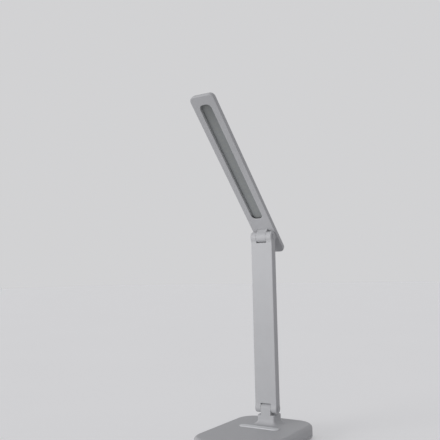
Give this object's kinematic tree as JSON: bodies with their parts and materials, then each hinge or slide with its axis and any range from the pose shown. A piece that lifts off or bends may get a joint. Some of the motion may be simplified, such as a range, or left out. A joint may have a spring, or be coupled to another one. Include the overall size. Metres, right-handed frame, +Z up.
{
  "type": "desk lamp",
  "caption": "Folding desk lamp with a flat rounded base, a slim arm and a slim tilting head on forked friction hinges, a long sunk diffuser and a bar key on the base.",
  "frame": {"origin": "on the table, at the middle of the pad under the base", "axes": "+Z up, -Y towards the front where the head points, +X to the right seen from the front"},
  "size_m": [0.1076, 0.1803, 0.4163],
  "materials": {
    "shell_plastic": "fine satin moulded plastic, pale grey",
    "key_plastic": "smooth satin plastic, a little paler than the base",
    "cap_plastic": "satin moulded plastic",
    "diffuser_plastic": "unlit translucent grey plastic",
    "pad_rubber": "matt soft sheet",
    "ballast_steel": "plain rolled steel",
    "cell_wrap": "shrink wrap",
    "board_laminate": "green laminate",
    "led_board_metal": "white coated aluminium",
    "led_lens": "yellow phosphor under clear resin",
    "switch_plastic": "black moulded plastic",
    "screw_steel": "zinc-plated steel",
    "hinge_steel": "turned steel",
    "washer_plastic": "natural acetal",
    "socket_steel": "drawn steel shell",
    "lead_sleeve": "soft black sleeve"
  },
  "bodies": {
    "base": {"base_top_cover": "shell_plastic", "base_bottom_cover": "shell_plastic", "non_slip_pad": "pad_rubber", "ballast_plate": "ballast_steel", "battery_pack": "cell_wrap", "control_board": "board_laminate", "board_screws": "screw_steel", "tact_switch": "switch_plastic", "charge_socket": "socket_steel", "base_screws": "screw_steel", "base_lead": "lead_sleeve"},
    "key": {"switch_key": "key_plastic", "switch_plunger": "switch_plastic"},
    "arm": {"arm_front_shell": "shell_plastic", "arm_rear_cover": "shell_plastic", "arm_screws": "screw_steel", "arm_lead": "lead_sleeve", "lower_hinge_bolt": "hinge_steel", "lower_hinge_nut": "hinge_steel", "lower_hinge_washers": "washer_plastic", "lower_hinge_caps": "cap_plastic", "upper_hinge_bolt": "hinge_steel", "upper_hinge_nut": "hinge_steel", "upper_hinge_washers": "washer_plastic", "upper_hinge_caps": "cap_plastic"},
    "head": {"head_back_cover": "shell_plastic", "head_bezel": "shell_plastic", "diffuser": "diffuser_plastic", "led_board": "led_board_metal", "leds": "led_lens", "head_hinge_lug": "shell_plastic", "lug_screws": "screw_steel", "head_lead": "lead_sleeve"}
  },
  "joints": [
    {"name": "key_press", "type": "slide", "parent": "base", "child": "key", "axis": [0, 0, -1], "range_m": [0, 0.0008], "stiffness_N_per_m": 1500},
    {"name": "arm_fold", "type": "hinge", "parent": "base", "child": "arm", "pos_m": [0, 0.03475, 0.0371], "axis": [1, 0, 0], "range_deg": [-15, 90]},
    {"name": "head_tilt", "type": "hinge", "parent": "arm", "child": "head", "pos_m": [0, 0.03475, 0.2566], "axis": [1, 0, 0], "range_deg": [-44, 135]}
  ]
}
